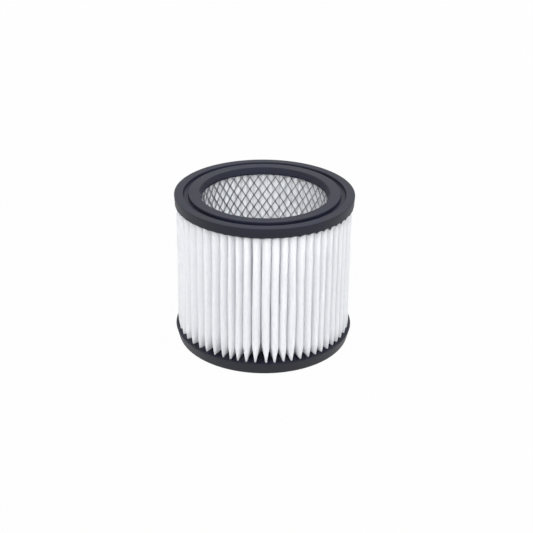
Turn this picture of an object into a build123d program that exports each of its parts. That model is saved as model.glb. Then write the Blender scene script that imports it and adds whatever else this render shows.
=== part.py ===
from build123d import *
import os
from math import acos, degrees, hypot, pi

# Pleated cartridge filter of a small wet and dry vacuum cleaner, standing on its closed end.
# Millimetres, +Z up along the filter's axis, origin at the middle of the underside.

# Outside of the filter
cap_diameter = 133.0  # upper edge of the top cap
overall_height = 117.0

# Bottom cap, a closed disc cast in soft polyurethane
bottom_cap_floor = 8.0  # underside to the floor that the pleats stand in
bottom_rim_flare = 1.1  # its rim lies this far outside the top cap's edge
bottom_draft = 2.5  # its foot lies this far inside the rim
bottom_rim_rise = 1.8  # the rim stands this far above the floor, where the cast climbed the mould
bottom_rim_width = 1.4
bottom_lower_round = 2.0
bottom_upper_round = 0.5

# Top cap, a ring cast in the same polyurethane
top_cap_thickness = 7.5  # seal ring down to the underside that holds the pleats
top_draft = 0.4  # its lower edge lies this far inside the upper one
top_outer_round = 0.4
bore_diameter = 92.4
bore_land = 1.0  # straight stretch at the bore's lower end
bore_lead_in = 2.1  # above it the bore widens by this, all round, up to its mouth
bore_lip_thickness = 1.0  # wall between the bore and the cage's seat
bore_lip_rise = 2.5  # the lip stops this far above the underside
outer_ring_width = 6.4  # from the groove to the cap's edge; the seal ring lies inside the groove
outer_ring_drop = 0.4  # the outer ring lies this far below the seal ring
seal_groove_width = 4.2
seal_groove_floor = 3.2
seal_groove_depth = 2.6
seal_groove_lean = 0.4  # slope of the groove's steep inner wall, measured across

# Cage, a sleeve of flattened expanded steel that keeps the pleats open
cage_thickness = 0.8
cage_seat_depth = 3.0  # how deep each end is cast into its cap
cage_seat_clearance = 0.1
cage_columns = 20
cage_rows = 6
cage_strand = 1.6

# Pleated sheet of white non-woven polyester
pleat_count = 60
sheet_thickness = 0.6
tip_inset = 0.7  # from the top cap's edge to the pleat tips
tip_round = 1.6  # outside of the fold at a tip
valley_round = 1.4  # outside of the fold at a valley, on the cage's side
cage_gap = 0.2  # between the valleys and the cage

# Radii and levels that follow from the sizes above
cap_radius = cap_diameter / 2
rim_radius = cap_radius + bottom_rim_flare
rim_inner_radius = rim_radius - bottom_rim_width
bore_radius = bore_diameter / 2
lip_radius = bore_radius + bore_lip_thickness
cage_inner_radius = lip_radius + cage_seat_clearance
cage_outer_radius = cage_inner_radius + cage_thickness
seat_radius = cage_outer_radius + cage_seat_clearance
top_cap_underside = overall_height - top_cap_thickness
cage_bottom = bottom_cap_floor - cage_seat_depth
cage_length = top_cap_underside + cage_seat_depth - cage_bottom


def turned(corners):
    # Ring or disc about Z. Each corner of its section is (radius, height, rounding).
    section = make_face(Polyline(*[(r, z) for r, z, rounding in corners], close=True))
    for r, z, rounding in corners:
        if rounding > 0:
            section = fillet(section.vertices().sort_by_distance((r, z))[0], rounding)
    return revolve(Plane.XZ * section, Axis.Z)


def bottom_cap():
    seat_floor = bottom_cap_floor - cage_seat_depth
    rim_top = bottom_cap_floor + bottom_rim_rise
    return turned([
        (0, 0, 0),
        (rim_radius - bottom_draft, 0, bottom_lower_round),
        (rim_radius, rim_top, bottom_upper_round),
        (rim_inner_radius, rim_top, bottom_upper_round),
        (rim_inner_radius, bottom_cap_floor, 0),
        (seat_radius, bottom_cap_floor, 0),
        (seat_radius, seat_floor, 0),
        (lip_radius, seat_floor, 0),
        (lip_radius, bottom_cap_floor, 0),
        (0, bottom_cap_floor, 0),
    ])


def top_cap():
    seat_roof = top_cap_underside + cage_seat_depth
    lip_underside = top_cap_underside + bore_lip_rise
    outer_ring_top = overall_height - outer_ring_drop
    groove_bottom = overall_height - seal_groove_depth
    groove_outer = cap_radius - outer_ring_width
    groove_inner = groove_outer - seal_groove_width
    groove_foot = groove_inner + seal_groove_lean
    return turned([
        (bore_radius, lip_underside, 0),
        (lip_radius, lip_underside, 0),
        (lip_radius, seat_roof, 0),
        (seat_radius, seat_roof, 0),
        (seat_radius, top_cap_underside, 0),
        (cap_radius - top_draft, top_cap_underside, 0),
        (cap_radius, outer_ring_top, top_outer_round),
        (groove_outer, outer_ring_top, 0),
        (groove_foot + seal_groove_floor, groove_bottom, 0),
        (groove_foot, groove_bottom, 0),
        (groove_inner, overall_height, 0),
        (bore_radius + bore_lead_in, overall_height, 0),
        (bore_radius, lip_underside + bore_land, 0),
    ])


def inner_cage():
    # Staggered diamonds cut through a sleeve. The first and last rows run out of its ends.
    row_pitch = cage_length / (cage_rows + 1)
    half_width = pi * cage_outer_radius / cage_columns
    half_height = row_pitch
    strand_share = cage_strand / 2 * hypot(half_width, half_height) / (half_width * half_height)
    open_width = half_width * (1 - strand_share)
    open_height = half_height * (1 - strand_share)
    rhombus = make_face(Polyline(
        (0, open_width), (open_height, 0), (0, -open_width), (-open_height, 0), close=True))
    punch = Rot(0, -90, 0) * extrude(rhombus, amount=-2 * cage_thickness, both=True)
    sleeve = Cylinder(cage_outer_radius, cage_length) - Cylinder(cage_inner_radius, cage_length)
    sleeve = Pos(0, 0, cage_bottom + cage_length / 2) * sleeve
    punches = []
    for row in range(cage_rows + 2):
        level = Pos(cage_outer_radius, 0, cage_bottom + row * row_pitch)
        for column in range(cage_columns):
            turn = 360 / cage_columns * (column + row % 2 / 2)
            punches.append(Rot(0, 0, turn) * level * punch)
    return sleeve - punches


def sheet_outline(outside):
    # One face of the folded sheet as a closed outline: straight flanks, with an arc round each fold
    # on its outer side and a narrow flat on its inner side.
    half_turn = 180 / pleat_count
    tip_ray = Vector(1, 0)
    valley_ray = tip_ray.rotate(Axis.Z, half_turn)
    tip_reach = cap_radius - tip_inset - tip_round
    valley_reach = cage_outer_radius + cage_gap + valley_round
    tip_centre = tip_ray * tip_reach
    valley_centre = valley_ray * valley_reach
    span = valley_centre - tip_centre
    lean = acos((tip_round + valley_round - sheet_thickness) / span.length)
    across = span.normalized().rotate(Axis.Z, -degrees(lean))
    if outside:
        tip_end = tip_centre + across * tip_round
        valley_start = flank_end(tip_end, across, valley_ray, valley_reach - valley_round + sheet_thickness)
    else:
        valley_start = valley_centre - across * valley_round
        tip_end = flank_end(valley_start, across, tip_ray, tip_reach + tip_round - sheet_thickness)
    tip_start = mirrored(tip_end, tip_ray)
    valley_end = mirrored(valley_start, valley_ray)
    if outside:
        tip_fold = ThreePointArc(tip_start, tip_centre + tip_ray * tip_round, tip_end)
        valley_fold = Line(valley_start, valley_end)
    else:
        tip_fold = Line(tip_start, tip_end)
        valley_fold = ThreePointArc(valley_start, valley_centre - valley_ray * valley_round, valley_end)
    flank = Line(tip_end, valley_start)
    next_flank = Line(valley_end, mirrored(tip_end, valley_ray))
    pleat = (tip_fold, flank, valley_fold, next_flank)
    turns = [Rot(0, 0, 2 * half_turn * fold) for fold in range(pleat_count)]
    return Wire([turn * edge for turn in turns for edge in pleat])


def mirrored(point, ray):
    return ray * (2 * ray.dot(point)) - point


def flank_end(point, across, ray, reach):
    # Where the flank through the point, square to across, comes to this reach along the ray.
    side = ray.rotate(Axis.Z, 90)
    return ray * reach + side * ((across.dot(point) - across.dot(ray) * reach) / across.dot(side))


def pleated_media():
    section = Face(sheet_outline(True), [sheet_outline(False)])
    pack = extrude(section, amount=top_cap_underside - bottom_cap_floor, dir=(0, 0, 1))
    return Pos(0, 0, bottom_cap_floor) * pack


os.makedirs("parts", exist_ok=True)
for piece in (bottom_cap, top_cap, inner_cage, pleated_media):
    export_step(piece(), f"parts/{piece.__name__}.step")
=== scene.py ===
import math

import bmesh
import bpy
import numpy as np
from mathutils import Matrix, Vector


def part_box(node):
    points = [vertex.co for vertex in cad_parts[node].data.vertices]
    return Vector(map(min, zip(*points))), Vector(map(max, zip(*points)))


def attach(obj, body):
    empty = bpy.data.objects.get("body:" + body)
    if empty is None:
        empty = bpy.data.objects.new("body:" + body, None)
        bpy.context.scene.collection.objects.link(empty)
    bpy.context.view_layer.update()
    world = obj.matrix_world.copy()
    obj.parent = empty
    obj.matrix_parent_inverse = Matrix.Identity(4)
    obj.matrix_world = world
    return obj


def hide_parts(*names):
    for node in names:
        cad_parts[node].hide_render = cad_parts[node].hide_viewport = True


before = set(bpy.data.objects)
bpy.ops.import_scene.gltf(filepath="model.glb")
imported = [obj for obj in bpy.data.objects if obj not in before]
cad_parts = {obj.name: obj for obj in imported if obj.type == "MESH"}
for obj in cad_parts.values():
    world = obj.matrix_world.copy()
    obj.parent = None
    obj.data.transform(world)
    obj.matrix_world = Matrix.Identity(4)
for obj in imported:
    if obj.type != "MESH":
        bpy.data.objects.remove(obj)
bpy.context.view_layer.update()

mm = 0.001
rng = np.random.default_rng(71)

# levels and radii that the solids give, in metres
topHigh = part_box("top_cap")[1]
cageLow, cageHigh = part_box("inner_cage")
mediaLow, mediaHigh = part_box("pleated_media")
fullHeight = topHigh.z
capUnderside = mediaHigh.z
capFloor = mediaLow.z
cageRadius = cageHigh.x
tipRadius = mediaHigh.x
print("frame: height", round(fullHeight, 4), "pleat tips at", round(tipRadius, 4))


def linearColour(hexText):
    # sRGB hex to the linear values that the shaders take
    channels = [int(hexText[i:i + 2], 16) / 255 for i in (1, 3, 5)]
    return [c / 12.92 if c <= 0.04045 else ((c + 0.055) / 1.055) ** 2.4 for c in channels] + [1.0]


def addNode(tree, kind, settings=None, links=None):
    # settings are the node's own properties or its sockets' values, links feed its sockets
    node = tree.nodes.new(kind)
    for name, value in (settings or {}).items():
        if isinstance(name, int) or name in node.inputs:
            node.inputs[name].default_value = value
        else:
            setattr(node, name, value)
    for name, source in (links or {}).items():
        tree.links.new(source, node.inputs[name])
    return node


def newMaterial(name):
    material = bpy.data.materials.new(name)
    material.use_nodes = True
    material.node_tree.nodes.clear()
    return material, material.node_tree


def smoothStep(low, high, values):
    t = np.clip((np.asarray(values, float) - low) / (high - low), 0, 1)
    return t * t * (3 - 2 * t)


def wander(angles, waves, strength, seeded):
    # smooth random rise and fall round the filter, the same where it closes
    total = np.zeros_like(angles)
    for wave in waves:
        total += seeded.normal(0, strength) * np.cos(wave * angles + seeded.uniform(0, 2 * math.pi))
    return total


def addPiece(name, vertices, faces, material, node):
    # one mesh piece that stands for a CAD node and rides on the only body
    mesh = bpy.data.meshes.new(name)
    mesh.from_pydata([tuple(v) for v in vertices], [], faces)
    mesh.validate()
    mesh.update()
    piece = bpy.data.objects.new(name, mesh)
    bpy.context.scene.collection.objects.link(piece)
    mesh.materials.append(material)
    mesh.polygons.foreach_set("use_smooth", [True] * len(mesh.polygons))
    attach(piece, "root")
    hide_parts(node)
    print("piece", name, "faces", len(mesh.polygons))
    return piece


# materials

castCap = {
    "colour": "#080a16",       # dark blue-grey polyurethane
    "paleColour": "#101322",   # where the skin is rubbed or chalky
    "roughness": 0.5,
    "roughnessSpread": (-0.06, 0.1),
    "ior": 1.45,
    "grainMm": 0.9,            # skin grain is about 0.3 mm, drawn coarser to show
    "grainDepthMm": 0.05,
    "grainStrength": 0.5,
    "cloudMm": 14.0,           # slow change of tone over the skin
    "toneStops": (0.12, 0.42),  # grain times cloud, at the dark and at the pale colour
    "poreMm": 2.2,             # spacing of the pores that air bubbles leave
    "poreWall": (0.04, 0.14),  # share of the spacing where a pore's wall starts and ends
    "poreShare": 0.35,         # depth of a pore against the grain
}


def castPolyurethane():
    # cast in an open mould: an even matt skin with a fine grain, so it shines only at a low angle
    material, tree = newMaterial("castPolyurethaneSkin")
    place = addNode(tree, "ShaderNodeTexCoord")
    grain = addNode(tree, "ShaderNodeTexNoise",
                    {"Scale": 1 / (castCap["grainMm"] * mm), "Detail": 4.0, "Roughness": 0.6},
                    {"Vector": place.outputs["Object"]})
    cloud = addNode(tree, "ShaderNodeTexNoise", {"Scale": 1 / (castCap["cloudMm"] * mm), "Detail": 3.0},
                    {"Vector": place.outputs["Object"]})
    tone = addNode(tree, "ShaderNodeMath", {"operation": "MULTIPLY"},
                   {0: grain.outputs["Fac"], 1: cloud.outputs["Fac"]})
    ramp = addNode(tree, "ShaderNodeValToRGB", None, {"Fac": tone.outputs["Value"]})
    ramp.color_ramp.elements[0].position = castCap["toneStops"][0]
    ramp.color_ramp.elements[0].color = linearColour(castCap["colour"])
    ramp.color_ramp.elements[1].position = castCap["toneStops"][1]
    ramp.color_ramp.elements[1].color = linearColour(castCap["paleColour"])
    pores = addNode(tree, "ShaderNodeTexVoronoi", {"Scale": 1 / (castCap["poreMm"] * mm)},
                    {"Vector": place.outputs["Object"]})
    poreLow, poreHigh = castCap["poreWall"]
    pit = addNode(tree, "ShaderNodeMapRange", {"From Min": poreLow, "From Max": poreHigh},
                  {"Value": pores.outputs["Distance"]})
    height = addNode(tree, "ShaderNodeMath", {"operation": "MULTIPLY_ADD", 1: castCap["poreShare"]},
                     {0: pit.outputs["Result"], 2: grain.outputs["Fac"]})
    bump = addNode(tree, "ShaderNodeBump",
                   {"Strength": castCap["grainStrength"], "Distance": castCap["grainDepthMm"] * mm},
                   {"Height": height.outputs["Value"]})
    smoother, rougher = castCap["roughnessSpread"]
    dull = addNode(tree, "ShaderNodeMapRange",
                   {"To Min": castCap["roughness"] + smoother, "To Max": castCap["roughness"] + rougher},
                   {"Value": cloud.outputs["Fac"]})
    skin = addNode(tree, "ShaderNodeBsdfPrincipled", {"IOR": castCap["ior"]},
                   {"Base Color": ramp.outputs["Color"], "Roughness": dull.outputs["Result"],
                    "Normal": bump.outputs["Normal"]})
    addNode(tree, "ShaderNodeOutputMaterial", None, {"Surface": skin.outputs["BSDF"]})
    return material


fleece = {
    "colour": "#fdfdfe",       # bleached polyester
    "shadeColour": "#f7f8fa",  # between thicker fibre bundles
    "roughness": 0.9,
    "ior": 1.45,
    "sheen": 0.15,
    "sheenRoughness": 0.5,
    "lightThrough": 0.66,      # share of the light that passes on through each face
    "fibreMm": 0.7,            # fibres are 0.02 mm, drawn coarser to show
    "fibreStretch": 0.45,      # and drawn out along the height
    "fibreDepthMm": 0.08,
    "fibreStrength": 0.45,
    "bundleMm": 3.5,
    "toneStops": (0.1, 0.32),  # fibres times bundles, at the shade and at the full white
}


def spunbondFleece():
    # spun fibres pressed by warm rollers: white, quite matt, faintly cloudy, and light shines through it
    material, tree = newMaterial("spunbondPolyesterFleece")
    place = addNode(tree, "ShaderNodeTexCoord")
    stretch = addNode(tree, "ShaderNodeMapping", {"Scale": (1, 1, fleece["fibreStretch"])},
                      {"Vector": place.outputs["Object"]})
    fibres = addNode(tree, "ShaderNodeTexNoise",
                     {"Scale": 1 / (fleece["fibreMm"] * mm), "Detail": 5.0, "Roughness": 0.7,
                      "Distortion": 1.2},
                     {"Vector": stretch.outputs["Vector"]})
    bundles = addNode(tree, "ShaderNodeTexNoise",
                      {"Scale": 1 / (fleece["bundleMm"] * mm), "Detail": 4.0, "Distortion": 0.6},
                      {"Vector": place.outputs["Object"]})
    tone = addNode(tree, "ShaderNodeMath", {"operation": "MULTIPLY"},
                   {0: fibres.outputs["Fac"], 1: bundles.outputs["Fac"]})
    ramp = addNode(tree, "ShaderNodeValToRGB", None, {"Fac": tone.outputs["Value"]})
    ramp.color_ramp.elements[0].position = fleece["toneStops"][0]
    ramp.color_ramp.elements[0].color = linearColour(fleece["shadeColour"])
    ramp.color_ramp.elements[1].position = fleece["toneStops"][1]
    ramp.color_ramp.elements[1].color = linearColour(fleece["colour"])
    bump = addNode(tree, "ShaderNodeBump",
                   {"Strength": fleece["fibreStrength"], "Distance": fleece["fibreDepthMm"] * mm},
                   {"Height": fibres.outputs["Fac"]})
    cloth = addNode(tree, "ShaderNodeBsdfPrincipled",
                    {"Roughness": fleece["roughness"], "IOR": fleece["ior"],
                     "Sheen Weight": fleece["sheen"], "Sheen Roughness": fleece["sheenRoughness"]},
                    {"Base Color": ramp.outputs["Color"], "Normal": bump.outputs["Normal"]})
    through = addNode(tree, "ShaderNodeBsdfTranslucent", None,
                      {"Color": ramp.outputs["Color"], "Normal": bump.outputs["Normal"]})
    both = addNode(tree, "ShaderNodeMixShader", {0: fleece["lightThrough"]},
                   {1: cloth.outputs["BSDF"], 2: through.outputs["BSDF"]})
    addNode(tree, "ShaderNodeOutputMaterial", None, {"Surface": both.outputs["Shader"]})
    return material


zincMesh = {
    "colour": "#bfc3c7",      # dulled zinc on steel
    "darkColour": "#a4a8ac",
    "roughness": 0.5,
    "roughnessSpread": (-0.1, 0.15),
    "spangleMm": 1.6,         # width of a zinc crystal
}


def galvanisedSteel():
    # slit, stretched and dipped in zinc: grey metal with soft patches that shine unevenly
    material, tree = newMaterial("galvanisedExpandedSteel")
    place = addNode(tree, "ShaderNodeTexCoord")
    spangle = addNode(tree, "ShaderNodeTexVoronoi", {"Scale": 1 / (zincMesh["spangleMm"] * mm)},
                      {"Vector": place.outputs["Object"]})
    grey = addNode(tree, "ShaderNodeSeparateColor", None, {"Color": spangle.outputs["Color"]})
    ramp = addNode(tree, "ShaderNodeValToRGB", None, {"Fac": grey.outputs["Red"]})
    ramp.color_ramp.elements[0].color = linearColour(zincMesh["darkColour"])
    ramp.color_ramp.elements[1].color = linearColour(zincMesh["colour"])
    smoother, rougher = zincMesh["roughnessSpread"]
    dull = addNode(tree, "ShaderNodeMapRange",
                   {"To Min": zincMesh["roughness"] + smoother, "To Max": zincMesh["roughness"] + rougher},
                   {"Value": grey.outputs["Green"]})
    steel = addNode(tree, "ShaderNodeBsdfPrincipled", {"Metallic": 1.0},
                    {"Base Color": ramp.outputs["Color"], "Roughness": dull.outputs["Result"]})
    addNode(tree, "ShaderNodeOutputMaterial", None, {"Surface": steel.outputs["BSDF"]})
    return material


capMaterial = castPolyurethane()
fleeceMaterial = spunbondFleece()
steelMaterial = galvanisedSteel()
print("materials made")


# folded sheet

pleats = {
    "count": 60,
    "sheetMm": 0.6,
    # places of the tips that the photo shows, from left to right; the others are spread evenly
    "seenTipsDeg": [187.4, 194.1, 201.7, 208.8, 216.5, 223.6, 229.9, 236.9, 243.0,
                    248.4, 253.5, 259.1, 265.0, 272.1, 277.5, 283.7, 288.9, 295.1,
                    301.1, 306.5, 311.9, 317.5, 323.5, 328.8, 334.8, 341.9, 349.3],
    "driftDeg": 0.4,                # how far the others stand off the even spacing
    "swayDeg": 0.3,                 # how far a tip wanders along its height
    "swayWaves": 3,
    "tipDriftMm": 0.25,
    "tipHalfMm": (0.4, 3.0, 3.0),   # half width of a fold at its foot, on most of its height, at the top
    "noseMm": (1.5, 5.0, 4.5),      # distance from the tip to the widest place, at the same three
    "pinchShare": 0.18,             # lowest part of the height, where the folds are pinched
    "topShare": 0.8,                # from here up they change to their width at the top
    "flareMm": 0.4,                 # tips stand out more at the bottom and less at the top
    "waistMm": 0.35,                # and draw in at half height
    "footInsetMm": 1.5,             # and where the bottom cap grips them
    "gripShare": (-0.04, 0.1),      # part of the height over which that grip is felt
    "valleyRoundMm": (0.7, 2.6),    # on the cage's side, at the floor and higher up
    "valleyFullShare": 0.5,         # height from which the valleys are full
    "valleyGapMm": 0.25,            # valleys to the cage
    "valleyDriftDeg": 0.06,
    "gapMm": (0.3, 1.0),            # least and most room between two folds that stand close
    "gapWave": (0.5, 5.0),          # how far that room swings over the height, and its turn in radians
    "ridgeGapMm": 0.03,             # room between two valleys, seen from inside
    "rootMm": (1.2, 2.7),           # how far the ends run into the bottom and the top cap
    "closeLevelsMm": (24, 3),       # up to this height the levels of the mesh lie this close
    "upperLevels": 15,
    "tipSteps": 10,
    "flankSteps": 7,
    "valleySteps": 6,
}


def tangentFlank(start, valleyCentre, valleyRound, sense):
    # unit vector square to the line that runs from a point to the facing side of the valley's circle
    span = valleyCentre - start
    along = math.atan2(span[1], span[0]) - sense * math.acos(valleyRound / np.hypot(*span))
    return np.array([math.cos(along), math.sin(along)])


def arcPoints(centre, radius, start, end, steps):
    # points round a circle from one direction to another, the short way
    first = math.atan2(start[1], start[0])
    turn = math.atan2(end[1], end[0]) - first
    turn = (turn + math.pi) % (2 * math.pi) - math.pi
    angles = first + turn * np.linspace(0, 1, steps + 1)
    return centre + radius * np.column_stack([np.cos(angles), np.sin(angles)])


def polar(radius, angle):
    return np.array([radius * math.cos(angle), radius * math.sin(angle)])


def roomAhead(angles, radius):
    return (np.append(angles, angles[0] + 2 * math.pi)[1:] - angles) * radius


def bentFlank(start, leaving, end, arriving):
    # points between the ends of a flank that leaves and arrives in the given directions
    third = np.hypot(*(end - start)) / 3
    near, far = start + leaving * third, end - arriving * third
    s = np.linspace(0, 1, pleats["flankSteps"] + 1)[1:-1, None]
    return (1 - s) ** 3 * start + 3 * (1 - s) ** 2 * s * near + 3 * (1 - s) * s ** 2 * far + s ** 3 * end


def sheetSection(tips, valleys, tipRadii, fullHalf, nose, gaps, fullValley):
    # middle line of the whole folded sheet at one level, as one closed run of points
    sheet = pleats["sheetMm"] * mm
    valleyLine = cageRadius + pleats["valleyGapMm"] * mm + sheet / 2
    halfAhead = np.minimum(fullHalf, (roomAhead(tips, tipRadii.mean() - nose) - sheet - gaps) / 2)
    ridgeRoom = roomAhead(valleys, valleyLine + fullValley) - sheet - pleats["ridgeGapMm"] * mm
    valleyRounds = np.minimum(fullValley, np.minimum(ridgeRoom, np.roll(ridgeRoom, 1)) / 2)
    turns = np.linspace(-math.pi / 2, math.pi / 2, pleats["tipSteps"] + 1)[:, None]
    run = []
    for k in range(len(tips)):
        ahead = (k + 1) % len(tips)
        outward, nextOutward = polar(1, tips[k]), polar(1, tips[ahead])
        sideways = polar(1, tips[k] + math.pi / 2)
        half = np.where(turns < 0, halfAhead[k - 1], halfAhead[k])
        tip = (tipRadii[k] - nose) * outward + nose * np.cos(turns) * outward
        tip = tip + half * np.sin(turns) * sideways
        nextSideways = polar(1, tips[ahead] + math.pi / 2)
        nextTip = (tipRadii[ahead] - nose) * nextOutward - halfAhead[k] * nextSideways
        centre = polar(valleyLine + valleyRounds[k], valleys[k])
        normalOut = tangentFlank(tip[-1], centre, valleyRounds[k], 1)
        normalNext = tangentFlank(nextTip, centre, valleyRounds[k], -1)
        inward = -polar(1, valleys[k])
        valley = np.vstack([
            arcPoints(centre, valleyRounds[k], -normalOut, inward, pleats["valleySteps"] // 2)[:-1],
            arcPoints(centre, valleyRounds[k], inward, -normalNext, pleats["valleySteps"] // 2)])
        down, up = valley[0] - tip[-1], nextTip - valley[-1]
        run += [tip, bentFlank(tip[-1], -outward, valley[0], down / np.hypot(*down)), valley,
                bentFlank(valley[-1], up / np.hypot(*up), nextTip, nextOutward)]
    return np.vstack(run)


def tipPlaces():
    # the tips that show and the even ones behind, then the same with a seeded drift behind
    seen = np.array(pleats["seenTipsDeg"])
    behind = pleats["count"] - len(seen)
    even = seen[-1] + (360 - seen[-1] + seen[0]) * np.arange(1, behind + 1) / (behind + 1)
    drift = rng.uniform(-pleats["driftDeg"], pleats["driftDeg"], behind)
    return np.radians(np.append(seen, even)), np.radians(np.append(seen, even + drift))


def byHeight(rise, sizes):
    # a size given at the foot, on most of the height and at the top
    foot, middle, top = sizes
    return (foot + (middle - foot) * smoothStep(0, pleats["pinchShare"], rise)
            + (top - middle) * smoothStep(pleats["topShare"], 1, rise)) * mm


def foldedSheet(places, tips):
    count = pleats["count"]
    # valleys lie against the cage, midway between the tips but more evenly spaced
    ring = np.concatenate([[places[-1] - 2 * math.pi], places, [places[0] + 2 * math.pi]])
    calm = (ring[:-2] + 2 * ring[1:-1] + ring[2:]) / 4
    valleys = (calm + np.append(calm[1:], calm[0] + 2 * math.pi)) / 2
    valleys += np.radians(rng.uniform(-pleats["valleyDriftDeg"], pleats["valleyDriftDeg"], count))
    inset = np.abs(rng.normal(0, pleats["tipDriftMm"], count)) * mm
    gapBase = rng.uniform(*pleats["gapMm"], count) * mm
    gapPhase = rng.uniform(0, 2 * math.pi, count)
    waves = pleats["swayWaves"]
    sway = rng.normal(0, math.radians(pleats["swayDeg"]), (waves, count))
    # levels lie closer together near the bottom, where the folds are pinched
    tall = (capUnderside - capFloor) / mm
    below, above = pleats["rootMm"]
    closeTop, closeStep = pleats["closeLevelsMm"]
    upper = np.linspace(closeTop, tall, pleats["upperLevels"])
    levels = np.concatenate([[-below], np.arange(0, closeTop, closeStep), upper, [tall + above]])
    levels = levels * mm + capFloor
    half = pleats["sheetMm"] * mm / 2
    gapSwing, gapTurn = pleats["gapWave"]
    sections = []
    for level in levels:
        rise = min(max((level - capFloor) / (capUnderside - capFloor), 0), 1)
        valleyRound = np.interp(rise, (0, pleats["valleyFullShare"]), pleats["valleyRoundMm"]) * mm - half
        drawn = pleats["footInsetMm"] * (1 - smoothStep(*pleats["gripShare"], rise))
        drawn += pleats["waistMm"] * math.sin(math.pi * rise)
        reach = tipRadius - inset - (drawn - pleats["flareMm"] * (1 - 2 * rise)) * mm
        swayNow = sum(sway[n] * math.sin((n + 1) * math.pi * rise) / (n + 1) for n in range(waves))
        gapNow = gapBase * (1 + gapSwing * np.sin(gapPhase + gapTurn * rise))
        tipHalf = byHeight(rise, pleats["tipHalfMm"])
        nose = byHeight(rise, pleats["noseMm"])
        sections.append(sheetSection(tips + swayNow, valleys, reach - half,
                                     tipHalf, nose, gapNow, valleyRound))
    sections = np.array(sections)
    tangents = np.roll(sections, -1, 1) - np.roll(sections, 1, 1)
    normals = np.stack([tangents[..., 1], -tangents[..., 0]], -1)
    normals /= np.linalg.norm(normals, axis=-1, keepdims=True)
    rows, columns = sections.shape[:2]
    heights = np.broadcast_to(levels[:, None], (rows, columns))
    shells = [np.dstack([sections + side * half * normals, heights]).reshape(-1, 3) for side in (1, -1)]
    inner = rows * columns
    faces = []
    for j in range(rows - 1):
        for i in range(columns):
            a, b = j * columns + i, j * columns + (i + 1) % columns
            c, d = b + columns, a + columns
            faces.append((a, b, c, d))
            faces.append((inner + d, inner + c, inner + b, inner + a))
    last = (rows - 1) * columns
    for i in range(columns):
        b = (i + 1) % columns
        faces.append((b, i, inner + i, inner + b))
        faces.append((last + i, last + b, inner + last + b, inner + last + i))
    piece = addPiece("foldedFleece", np.vstack(shells), faces,
                     fleeceMaterial, "pleated_media")


tipRest, tipAngles = tipPlaces()
foldedSheet(tipRest, tipAngles)


# expanded steel cage

cage = {
    "columns": 45,
    "diamondMm": 10.15,    # height of a diamond
    "lowestMm": 3.05,      # level of the lowest crossings, before the sleeve is cut to length
    "turnDeg": 4.0,        # so that the crossings lie as in the photo
    "strandMm": 0.7,
    "bondMm": 1.5,         # width of metal where strands meet
    "sheetMm": 0.5,
    "twistMm": 0.2,        # strands turn a little out of the sheet when it is stretched
    "seatMm": 0.4,         # middle of the sheet inside the cage's outer face
}


def expandedCage():
    middle = cageRadius - cage["seatMm"] * mm
    lowest = cage["lowestMm"] * mm
    a = math.pi * middle / cage["columns"]
    b = cage["diamondMm"] * mm / 2
    rows = math.ceil((cageHigh.z - lowest) / b)
    keep = 1 - cage["strandMm"] * mm / 2 * math.hypot(a, b) / (a * b)
    openSide = a - cage["bondMm"] * mm / 2
    openTop = keep * b
    corner = openTop * (1 - openSide / (keep * a))
    midX, midZ = openSide / 2, (openTop + corner) / 2
    # lattice points of one diamond, then the edge of its opening, clockwise from the top
    outerLoop = [(0, b), (a / 2, b / 2), (a, 0), (a / 2, -b / 2),
                 (0, -b), (-a / 2, -b / 2), (-a, 0), (-a / 2, b / 2)]
    openLoop = [(0, openTop), (midX, midZ), (openSide, corner), (openSide, -corner), (midX, -midZ),
                (0, -openTop), (-midX, -midZ), (-openSide, -corner), (-openSide, corner), (-midX, midZ)]
    metal = [(0, 1, 9, 8), (1, 2, 10, 9), (2, 11, 10), (2, 3, 12, 11), (3, 4, 13, 12),
             (4, 5, 14, 13), (5, 6, 15, 14), (6, 16, 15), (6, 7, 17, 16), (7, 0, 8, 17)]
    vertices, faces, shared = [], [], {}

    def vertex(x, z, tilt, side):
        angle = x / middle + math.radians(cage["turnDeg"])
        radius = middle + tilt + side * cage["sheetMm"] * mm / 2
        key = (round(angle % (2 * math.pi), 5) % round(2 * math.pi, 5), round(z, 6), round(radius, 6))
        if key not in shared:
            shared[key] = len(vertices)
            vertices.append((radius * math.cos(angle), radius * math.sin(angle), z))
        return shared[key]

    for row in range(rows - 1):
        centreZ = lowest + (row + 1) * b
        for column in range(cage["columns"]):
            centreX = (2 * column + row % 2) * a
            loops = []
            for side in (-1, 1):
                points = [vertex(centreX + x, centreZ + z, 0, side) for x, z in outerLoop]
                points += [vertex(centreX + x, centreZ + z, -cage["twistMm"] * mm * x / openSide, side)
                           for x, z in openLoop]
                loops.append(points)
            inside, outside = loops
            for face in metal:
                faces.append([inside[i] for i in face])
                faces.append([outside[i] for i in reversed(face)])
            for i in range(len(openLoop)):
                p, q = len(outerLoop) + i, len(outerLoop) + (i + 1) % len(openLoop)
                faces.append((inside[q], inside[p], outside[p], outside[q]))
    piece = addPiece("expandedCage", vertices, faces, steelMaterial, "inner_cage")
    # cut to the length that the caps hold, with the cut strands closed
    sleeve = bmesh.new()
    sleeve.from_mesh(piece.data)
    for level, side in ((cageLow.z, -1), (cageHigh.z, 1)):
        everything = sleeve.verts[:] + sleeve.edges[:] + sleeve.faces[:]
        cut = bmesh.ops.bisect_plane(sleeve, geom=everything, plane_co=(0, 0, level),
                                     plane_no=(0, 0, side), clear_outer=True)
        cutEdges = [part for part in cut["geom_cut"] if isinstance(part, bmesh.types.BMEdge)]
        bmesh.ops.edgenet_fill(sleeve, edges=cutEdges)
    for face in sleeve.faces:
        face.smooth = False
    sleeve.to_mesh(piece.data)
    sleeve.free()


expandedCage()


# cast caps

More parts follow.
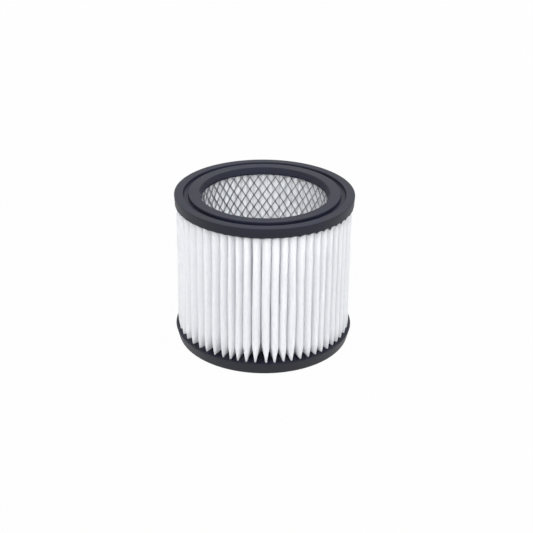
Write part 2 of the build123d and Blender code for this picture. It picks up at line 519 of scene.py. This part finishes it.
capShape = {
    "edgeMm": 66.5,           # radius of the top cap's upper edge
    "draftMm": 0.4,           # its lower edge lies that much further in
    "topRoundMm": 0.4,
    "lowerRoundMm": 0.4,
    "boreMm": 46.2,           # radius at the bore's lower end, where it is straight
    "landMm": 0.5,            # length of that straight stretch
    "leadInMm": 2.1,          # the bore widens by this up to its mouth
    "mouthRoundMm": 0.3,
    "lipMm": 1.0,             # wall between the bore and the cage
    "lipRiseMm": 2.5,         # its lower edge stands this far above the underside
    "seatGapMm": 0.1,         # cage to the wall of its seat
    "behindCageMm": 2.5,      # width of the hollow behind the cage, where the sheet shows up to the lip
    "outerRingMm": 6.4,       # groove to the edge
    "outerDropMm": 0.4,       # the outer ring lies this far below the seal ring
    "grooveMm": 4.2,
    "grooveFloorMm": 3.2,
    "grooveDepthMm": 2.6,
    "grooveLeanMm": 0.4,      # slope of the groove's steep inner wall, measured across
    "grooveRoundMm": 0.4,
    "grooveFootRoundMm": 0.2,
    "runMm": 2.0,             # how far the cast runs down between the pleats at most
    "runShare": (0.55, 1.0),  # least and most of that, from slot to slot
    "runCentreDeg": 318.0,    # it ran most at the right front
    "runSpreadDeg": 28.0,
    "runLeast": 0.25,         # and by this share all round
    "runReach": 0.95,         # how much of a half circle each scallop is
    "runBandMm": 1.6,         # height of the edge that follows
    "runInsetMm": (4.0, 2.0),  # from the edge inwards, where the run starts and is full
    "topWaves": (2, 3, 5, 9),
    "topUnevenMm": 0.02,
    "rimMm": 67.6,            # radius of the bottom cap's rim
    "rimRiseMm": 1.8,         # it stands above the floor
    "rimWidthMm": 1.4,
    "rimRoundMm": 0.5,
    "footMm": 65.1,
    "footRoundMm": 2.0,
    "brimDropMm": 0.2,        # just inside the rim the cast lies this far below it
    "climbMm": 1.2,           # and from there it climbs this far between the feet
    "climbFromMm": 65.0,
    "climbToMm": 58.0,
    "crestRoundMm": 2.0,
    "innerSlopeMm": (2.5, 0.5),  # from the cage, upper and lower end of the slope down to the floor
    "innerRoundMm": 1.0,
    "hubMm": 0.5,             # innermost ring of points, closed on the axis
    "bottomWaves": (3, 4, 7, 11),
    "bottomUnevenMm": 0.03,
    "bottomBandMm": 1.5,      # the unevenness fades out this far below the floor
    "arcSteps": 6,
    "stepMm": 1.5,            # longest stretch of the section between two points
    "topSegments": 1080,      # fine enough for the scallops
    "bottomSegments": 720,
}


def roundedSection(corners, closed):
    # corners are (radius, height, rounding) in mm; straight stretches are divided so they can be bent
    points = []
    count = len(corners)
    for n in range(count):
        here = np.array(corners[n][:2], float)
        rounding = corners[n][2]
        if rounding == 0:
            points.append(here)
            continue
        back = np.array(corners[n - 1][:2], float) - here
        ahead = np.array(corners[(n + 1) % count][:2], float) - here
        back /= np.linalg.norm(back)
        ahead /= np.linalg.norm(ahead)
        half = math.acos(np.clip(back @ ahead, -1, 1)) / 2
        middle = (back + ahead) / np.linalg.norm(back + ahead)
        centre = here + middle * rounding / math.sin(half)
        reach = rounding / math.tan(half)
        start, end = here + back * reach - centre, here + ahead * reach - centre
        points += list(arcPoints(centre, rounding, start, end, capShape["arcSteps"]))
    fine = []
    total = len(points)
    for n in range(total if closed else total - 1):
        start, end = points[n], points[(n + 1) % total]
        steps = max(1, math.ceil(np.linalg.norm(end - start) / capShape["stepMm"]))
        fine += [start + (end - start) * s / steps for s in range(steps)]
    if not closed:
        fine.append(points[-1])
    return np.array(fine)


def turnedPiece(name, section, closed, segments, bend, node):
    # turns a section (mm) round the axis, lets bend move the points, and closes the ends on the axis
    angles = 2 * math.pi * np.arange(segments) / segments
    radius, height = (np.broadcast_to(section[:, n], (segments, len(section))).copy() for n in (0, 1))
    radius, height = bend(angles[:, None], radius, height)
    x, y = radius * np.cos(angles)[:, None], radius * np.sin(angles)[:, None]
    vertices = np.dstack([x, y, height]).reshape(-1, 3) * mm
    count = len(section)
    faces = []
    for i in range(segments):
        nextRow = (i + 1) % segments * count
        for k in range(count if closed else count - 1):
            n = (k + 1) % count
            faces.append((i * count + k, nextRow + k, nextRow + n, i * count + n))
    if not closed:
        vertices = np.vstack([vertices, [(0, 0, section[0][1] * mm), (0, 0, section[-1][1] * mm)]])
        low, high = segments * count, segments * count + 1
        for i in range(segments):
            nextRow = (i + 1) % segments * count
            faces.append((low, nextRow, i * count))
            faces.append((high, i * count + count - 1, nextRow + count - 1))
    return addPiece(name, vertices, faces, capMaterial, node)


def betweenPleats(angles):
    # scallops: 0 at each pleat tip, rising to a point of 1 midway between two tips
    order = np.sort(tipAngles % (2 * math.pi))
    order = np.concatenate([[order[-1] - 2 * math.pi], order, [order[0] + 2 * math.pi]])
    turn = angles % (2 * math.pi)
    slot = np.searchsorted(order, turn) - 1
    slot = np.clip(slot, 0, len(order) - 2)
    share = (turn - order[slot]) / (order[slot + 1] - order[slot])
    full = capShape["runReach"]
    reach = 2 * full * np.minimum(share, 1 - share)
    return (1 - np.sqrt(1 - reach ** 2)) / (1 - math.sqrt(1 - full ** 2)), slot


def topCap():
    s = capShape
    under, top, outer = capUnderside / mm, fullHeight / mm, s["edgeMm"]
    lip = s["boreMm"] + s["lipMm"]
    seat = cageRadius / mm + s["seatGapMm"]
    seatRoof = cageHigh.z / mm
    grooveOuter = outer - s["outerRingMm"]
    grooveInner = grooveOuter - s["grooveMm"]
    foot = grooveInner + s["grooveLeanMm"]
    section = roundedSection([
        (s["boreMm"], under + s["lipRiseMm"], 0),
        (lip, under + s["lipRiseMm"], 0),
        (lip, seatRoof, 0),
        (seat, seatRoof, 0),
        (seat + s["behindCageMm"], under, 0),
        (outer - s["draftMm"], under, s["lowerRoundMm"]),
        (outer, top - s["outerDropMm"], s["topRoundMm"]),
        (grooveOuter, top - s["outerDropMm"], s["grooveRoundMm"]),
        (foot + s["grooveFloorMm"], top - s["grooveDepthMm"], s["grooveRoundMm"]),
        (foot, top - s["grooveDepthMm"], s["grooveFootRoundMm"]),
        (grooveInner, top, s["grooveRoundMm"]),
        (s["boreMm"] + s["leadInMm"], top, s["mouthRoundMm"]),
        (s["boreMm"], under + s["lipRiseMm"] + s["landMm"], 0),
    ], True)
    seeded = np.random.default_rng(5)
    slotRun = seeded.uniform(*s["runShare"], pleats["count"] + 2)
    runStart, runFull = s["runInsetMm"]

    def bend(angles, radius, height):
        gap, slot = betweenPleats(angles)
        away = (angles - math.radians(s["runCentreDeg"])) / math.radians(s["runSpreadDeg"])
        side = s["runLeast"] + (1 - s["runLeast"]) * np.exp(-away ** 2)
        run = s["runMm"] * gap * slotRun[slot] * side
        low = 1 - smoothStep(under, under + s["runBandMm"], height)
        edge = smoothStep(outer - runStart, outer - runFull, radius)
        uneven = wander(angles, s["topWaves"], s["topUnevenMm"], np.random.default_rng(8))
        return radius, height - run * low * edge + uneven * low
    return turnedPiece("topCapRing", section, True, s["topSegments"], bend, "top_cap")


def bottomCap():
    s = capShape
    floor = capFloor / mm
    rimTop = floor + s["rimRiseMm"]
    rimInner = s["rimMm"] - s["rimWidthMm"]
    brim = rimTop - s["brimDropMm"]
    slopeTop, slopeFoot = s["innerSlopeMm"]
    section = roundedSection([
        (s["hubMm"], 0, 0),
        (s["footMm"], 0, s["footRoundMm"]),
        (s["rimMm"], rimTop, s["rimRoundMm"]),
        (rimInner, rimTop, s["rimRoundMm"]),
        (s["climbFromMm"], brim, 0),
        (s["climbToMm"], brim + s["climbMm"], s["crestRoundMm"]),
        (cageRadius / mm + slopeTop, brim + s["climbMm"], s["innerRoundMm"]),
        (cageRadius / mm + slopeFoot, floor, 0),
        (s["hubMm"], floor, 0),
    ], False)

    def bend(angles, radius, height):
        uneven = wander(angles, s["bottomWaves"], s["bottomUnevenMm"], np.random.default_rng(9))
        above = smoothStep(floor - s["bottomBandMm"], rimTop, height)
        return radius, height + uneven * above
    return turnedPiece("bottomCapDisc", section, False, s["bottomSegments"], bend, "bottom_cap")


topCap()
bottomCap()
print("caps turned")


# floor, light and camera

studio = {
    "floorColour": "#8c8c8c",
    "floorM": 6.0,
    "glow": 0.98,             # share of plain white that the camera sees in the floor
    "skyStrength": 0.1,
    # watts, side and place in metres
    "softBoxes": {
        "frontSoftBox": (27.0, 1.2, (-0.55, -0.85, 1.15)),
        "rightSoftBox": (11.0, 0.9, (1.0, -0.5, 1.0)),
        "highSoftBox": (11.0, 0.8, (0.45, 0.0, 1.15)),
        "backLeftSoftBox": (12.0, 0.8, (-0.65, 1.25, 0.42)),
        "backRightSoftBox": (12.0, 0.8, (0.65, 1.25, 0.42)),
    },
    "spotPower": 14.0,        # narrow spot over the near edge of the bore, for the inside of the cage
    "spotDeg": 9.0,
    "spotBlend": 0.5,
    "spotM": 0.03,
    "spotPlace": (0.16, -0.6, 0.48),
    "spotTarget": (-0.012, 0.045, 0.1),
}


def seenRays(tree):
    # 1 for what the camera sees, straight or in a mirror, and 0 for light that falls on the object
    rays = addNode(tree, "ShaderNodeLightPath")
    mirrorRays = addNode(tree, "ShaderNodeMath", {"operation": "MAXIMUM"},
                         {0: rays.outputs["Is Glossy Ray"], 1: rays.outputs["Is Transmission Ray"]})
    seen = addNode(tree, "ShaderNodeMath", {"operation": "MAXIMUM"},
                   {0: rays.outputs["Is Camera Ray"], 1: mirrorRays.outputs["Value"]})
    return seen.outputs["Value"]


def whiteFloor():
    half = studio["floorM"]
    mesh = bpy.data.meshes.new("studioFloor")
    corners = [(-half, -half, 0), (half, -half, 0), (half, half, 0), (-half, half, 0)]
    mesh.from_pydata(corners, [], [(0, 1, 2, 3)])
    floor = bpy.data.objects.new("studioFloor", mesh)
    bpy.context.scene.collection.objects.link(floor)
    material, tree = newMaterial("paintedStudioFloor")    # matt paint, plain white to the camera
    share = addNode(tree, "ShaderNodeMath", {"operation": "MULTIPLY", 1: studio["glow"]},
                    {0: seenRays(tree)})
    paint = addNode(tree, "ShaderNodeBsdfDiffuse", {"Color": linearColour(studio["floorColour"])})
    glow = addNode(tree, "ShaderNodeEmission", {"Color": (1, 1, 1, 1), "Strength": 1.0})
    both = addNode(tree, "ShaderNodeMixShader", None,
                   {0: share.outputs["Value"], 1: paint.outputs["BSDF"], 2: glow.outputs["Emission"]})
    addNode(tree, "ShaderNodeOutputMaterial", None, {"Surface": both.outputs["Shader"]})
    mesh.materials.append(material)


def whiteWorld():
    world = bpy.data.worlds.new("studioWorld")
    bpy.context.scene.world = world
    world.use_nodes = True
    tree = world.node_tree
    tree.nodes.clear()
    strength = addNode(tree, "ShaderNodeMapRange", {"To Min": studio["skyStrength"], "To Max": 1.0},
                       {"Value": seenRays(tree)})
    sky = addNode(tree, "ShaderNodeBackground", {"Color": (1, 1, 1, 1)},
                  {"Strength": strength.outputs["Result"]})
    addNode(tree, "ShaderNodeOutputWorld", None, {"Surface": sky.outputs["Background"]})


def placeLamp(lamp, place, target):
    stand = bpy.data.objects.new(lamp.name, lamp)
    stand.location = place
    stand.visible_glossy = False     # soft light without the lamp's own mirror image
    stand.rotation_euler = (Vector(target) - Vector(place)).to_track_quat("-Z", "Y").to_euler()
    bpy.context.scene.collection.objects.link(stand)


def softBox(name, power, size, place):
    lamp = bpy.data.lights.new(name, "AREA")
    lamp.shape = "SQUARE"
    lamp.size = size
    lamp.energy = power
    placeLamp(lamp, place, (0, 0, fullHeight / 2))


def boreSpot():
    lamp = bpy.data.lights.new("boreSpot", "SPOT")
    lamp.energy = studio["spotPower"]
    lamp.spot_size = math.radians(studio["spotDeg"])
    lamp.spot_blend = studio["spotBlend"]
    lamp.shadow_soft_size = studio["spotM"]
    placeLamp(lamp, studio["spotPlace"], studio["spotTarget"])


view = {
    "elevationRad": 0.4605,
    "distanceMm": 837.2,
    "rollRad": 0.01,
    "targetMm": 57.44,          # height of the point looked at
    "targetPixel": (263.9, 263.95),
    "focalPixels": 1102.7,
    "framePixels": 533,
    "sensorMm": 36.0,
}


def photoCamera():
    e, roll = view["elevationRad"], view["rollRad"]
    back = Vector((0, -math.cos(e), math.sin(e)))
    right = Vector((1, 0, 0))
    up = Vector((0, math.sin(e), math.cos(e)))
    rightRolled = right * math.cos(roll) + up * math.sin(roll)
    upRolled = up * math.cos(roll) - right * math.sin(roll)
    centre = view["framePixels"] / 2
    ahead = (-back + rightRolled * ((centre - view["targetPixel"][0]) / view["focalPixels"])
             + upRolled * ((view["targetPixel"][1] - centre) / view["focalPixels"])).normalized()
    side = ahead.cross(upRolled).normalized()
    data = bpy.data.cameras.new("photoCamera")
    data.sensor_width = view["sensorMm"]
    data.lens = view["focalPixels"] / view["framePixels"] * view["sensorMm"]
    camera = bpy.data.objects.new("photoCamera", data)
    axes = Matrix((side, side.cross(ahead), -ahead)).transposed()
    place = Vector((0, 0, view["targetMm"] * mm)) + back * view["distanceMm"] * mm
    camera.matrix_world = Matrix.Translation(place) @ axes.to_4x4()
    bpy.context.scene.collection.objects.link(camera)
    bpy.context.scene.camera = camera


whiteFloor()
whiteWorld()
for boxName, (watts, side, place) in studio["softBoxes"].items():
    softBox(boxName, watts, side, place)
boreSpot()
photoCamera()
bpy.context.scene.view_settings.view_transform = "Standard"
print("studio set")
